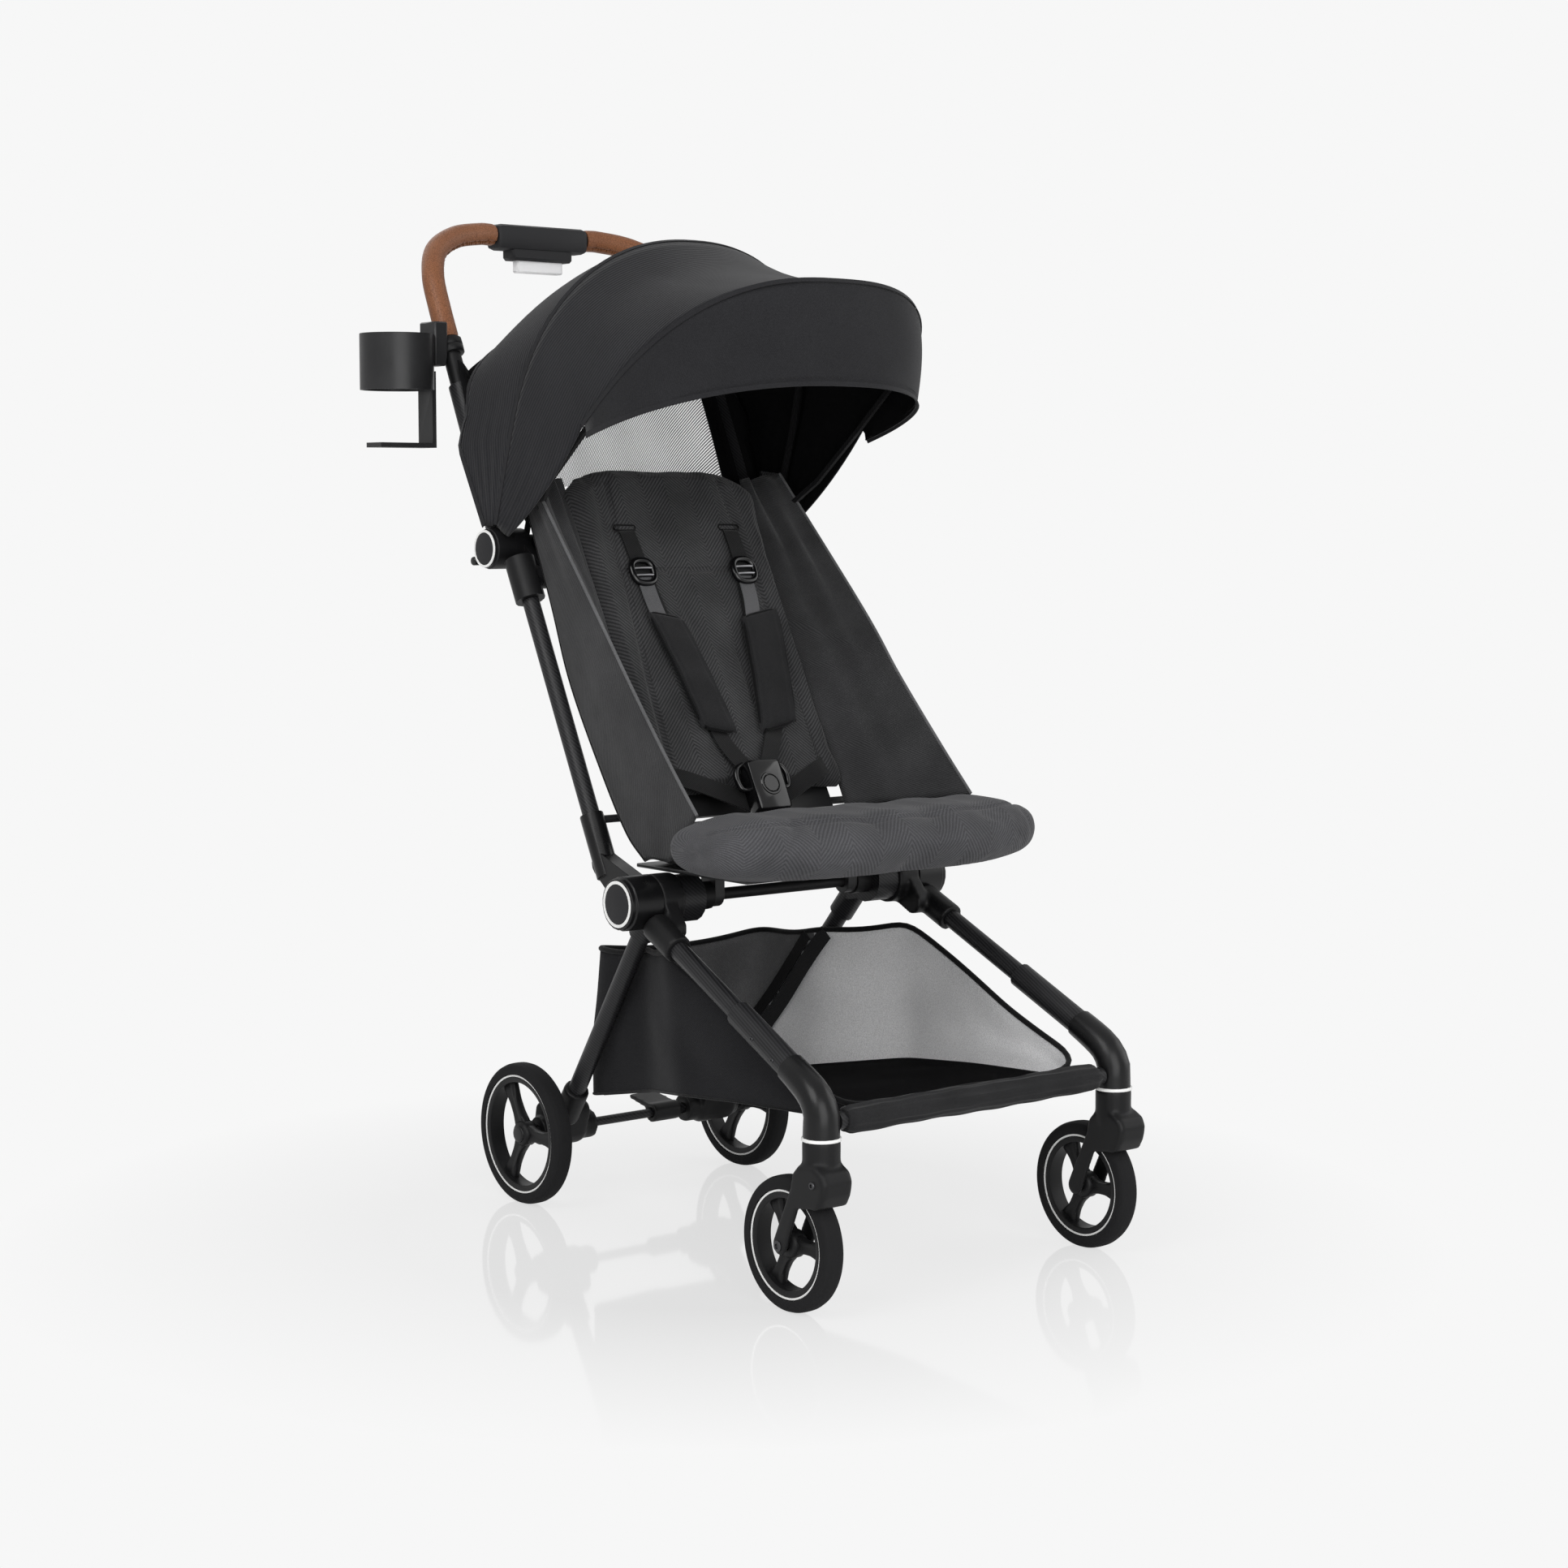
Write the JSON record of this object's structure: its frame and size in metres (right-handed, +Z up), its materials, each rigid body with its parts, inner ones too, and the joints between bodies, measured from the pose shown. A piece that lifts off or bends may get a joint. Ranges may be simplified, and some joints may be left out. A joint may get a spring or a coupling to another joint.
{
  "type": "stroller",
  "caption": "Lightweight folding stroller with a fabric seat, fan canopy, swivelling front wheels, parcel basket and a bowed push handle with a cup holder.",
  "frame": {"origin": "on the ground, under the middle of the box round the whole stroller", "axes": "+Z up, -Y toward the front where the child faces, +X to the child's left; the cup holder is on the -X side"},
  "size_m": [0.4786, 0.7642, 1.0445],
  "materials": {
    "black_tube": "satin",
    "black_plastic": "satin",
    "tyre_foam": "matte",
    "glossy_plastic": "gloss",
    "tan_leather": "satin",
    "clear_button": "satin",
    "board": "matte",
    "canopy_cloth": "matte",
    "seat_cloth": "matte",
    "lip_cloth": "matte",
    "basket_cloth": "matte",
    "webbing": "matte"
  },
  "bodies": {
    "chassis": {"front_leg_socket_left": "black_plastic", "front_leg_socket_right": "black_plastic", "front_leg_left": "black_tube", "front_leg_right": "black_tube", "front_knee_left": "black_plastic", "front_knee_right": "black_plastic", "front_bar": "basket_cloth", "hub_crossbar": "black_plastic", "basket": "basket_cloth"},
    "front_caster_left": {"caster_fork_left": "black_plastic"},
    "front_caster_right": {"caster_fork_right": "black_plastic"},
    "front_wheel_left": {"front_rim_left": "black_plastic", "front_tyre_left": "tyre_foam"},
    "front_wheel_right": {"front_rim_right": "black_plastic", "front_tyre_right": "tyre_foam"},
    "rear_legs": {"rear_leg_left": "black_tube", "rear_leg_right": "black_tube", "rear_bracket_left": "black_plastic", "rear_bracket_right": "black_plastic", "rear_axle": "black_tube"},
    "rear_wheel_left": {"rear_rim_left": "black_plastic", "rear_tyre_left": "tyre_foam"},
    "rear_wheel_right": {"rear_rim_right": "black_plastic", "rear_tyre_right": "tyre_foam"},
    "brake": {"brake_pedal": "black_plastic"},
    "push_frame": {"push_hub_left": "black_plastic", "push_hub_right": "black_plastic", "push_tube_left": "black_tube", "push_tube_right": "black_tube", "push_socket_left": "black_plastic", "push_socket_right": "black_plastic", "side_wing_left": "seat_cloth", "side_wing_right": "seat_cloth"},
    "seat": {"seat_board": "board", "seat_pad": "seat_cloth", "seat_lip": "lip_cloth", "crotch_strap": "webbing"},
    "backrest": {"back_board": "board", "back_pad": "seat_cloth", "shoulder_straps": "webbing", "shoulder_pad_left": "seat_cloth", "shoulder_pad_right": "seat_cloth", "waist_straps": "webbing", "buckle": "glossy_plastic"},
    "buckle_release": {"buckle_button": "glossy_plastic"},
    "handle_frame": {"upper_hub_left": "black_plastic", "upper_hub_right": "black_plastic", "outer_tube_left": "black_tube", "outer_tube_right": "black_tube", "canopy_rear": "canopy_cloth"},
    "handle": {"handle_tube": "black_tube", "grip_left": "tan_leather", "grip_right": "tan_leather", "handle_housing": "black_plastic", "cup_holder": "black_plastic"},
    "handle_release": {"release_button": "clear_button"},
    "canopy_mid": {"mid_bow": "black_tube", "canopy_middle": "canopy_cloth"},
    "canopy_front": {"front_bow": "black_tube", "canopy_front_band": "canopy_cloth"}
  },
  "joints": [
    {"name": "front_swivel_left", "type": "hinge", "parent": "chassis", "child": "front_caster_left", "pos_m": [0.2194, -0.3546, 0.1668], "axis": [0, 0, 1], "continuous": true},
    {"name": "front_wheel_spin_left", "type": "hinge", "parent": "front_caster_left", "child": "front_wheel_left", "pos_m": [0.2213, -0.3161, 0.0635], "axis": [1, 0, 0], "continuous": true},
    {"name": "front_swivel_right", "type": "hinge", "parent": "chassis", "child": "front_caster_right", "pos_m": [-0.153, -0.3546, 0.1668], "axis": [0, 0, 1], "continuous": true},
    {"name": "front_wheel_spin_right", "type": "hinge", "parent": "front_caster_right", "child": "front_wheel_right", "pos_m": [-0.1549, -0.3161, 0.0635], "axis": [1, 0, 0], "continuous": true},
    {"name": "frame_fold", "type": "hinge", "parent": "chassis", "child": "push_frame", "pos_m": [0.0332, -0.0631, 0.351], "axis": [1, 0, 0], "range_deg": [0, 95], "deforming": ["seat_pad", "seat_lip", "crotch_strap", "side_wing_left", "side_wing_right", "basket", "canopy_rear", "canopy_middle"]},
    {"name": "rear_leg_fold", "type": "hinge", "parent": "chassis", "child": "rear_legs", "pos_m": [0.0332, -0.0631, 0.351], "axis": [1, 0, 0], "range_deg": [-86, 0]},
    {"name": "rear_wheel_spin_left", "type": "hinge", "parent": "rear_legs", "child": "rear_wheel_left", "pos_m": [0.1784, 0.1876, 0.075], "axis": [1, 0, 0], "continuous": true},
    {"name": "rear_wheel_spin_right", "type": "hinge", "parent": "rear_legs", "child": "rear_wheel_right", "pos_m": [-0.112, 0.1876, 0.075], "axis": [1, 0, 0], "continuous": true},
    {"name": "brake_pedal_turn", "type": "hinge", "parent": "rear_legs", "child": "brake", "pos_m": [0.0332, 0.1876, 0.075], "axis": [1, 0, 0], "range_deg": [-20, 0]},
    {"name": "seat_tilt", "type": "hinge", "parent": "chassis", "child": "seat", "pos_m": [0.0332, -0.0631, 0.351], "axis": [1, 0, 0], "range_deg": [0, 30]},
    {"name": "backrest_recline", "type": "hinge", "parent": "push_frame", "child": "backrest", "pos_m": [0.0332, 0.017, 0.425], "axis": [1, 0, 0], "range_deg": [-25, 0]},
    {"name": "buckle_press", "type": "slide", "parent": "backrest", "child": "buckle_release", "axis": [0, 0.8934, -0.4493], "range_m": [0, 0.003], "stiffness_N_per_m": 300},
    {"name": "handle_fold", "type": "hinge", "parent": "push_frame", "child": "handle_frame", "pos_m": [0.0332, 0.1801, 0.693], "axis": [1, 0, 0], "range_deg": [-172, 0]},
    {"name": "handle_slide", "type": "slide", "parent": "handle_frame", "child": "handle", "axis": [0, 0.4226, 0.9063], "range_m": [-0.035, 0]},
    {"name": "handle_release_press", "type": "slide", "parent": "handle", "child": "handle_release", "axis": [0, 0, 1], "range_m": [0, 0.004], "stiffness_N_per_m": 300},
    {"name": "canopy_middle_fold", "type": "hinge", "parent": "handle_frame", "child": "canopy_mid", "pos_m": [0.0332, 0.1801, 0.693], "axis": [1, 0, 0], "range_deg": [-25, 0]},
    {"name": "canopy_front_fold", "type": "hinge", "parent": "canopy_mid", "child": "canopy_front", "pos_m": [0.0332, 0.1801, 0.693], "axis": [1, 0, 0], "range_deg": [-25, 0]}
  ],
  "couplings": [
    {"joint": "rear_leg_fold", "follows": "frame_fold", "ratio": -0.90526},
    {"joint": "seat_tilt", "follows": "frame_fold", "ratio": 0.31579},
    {"joint": "handle_fold", "follows": "frame_fold", "ratio": -1.8105},
    {"joint": "canopy_front_fold", "follows": "canopy_middle_fold", "ratio": 1}
  ]
}
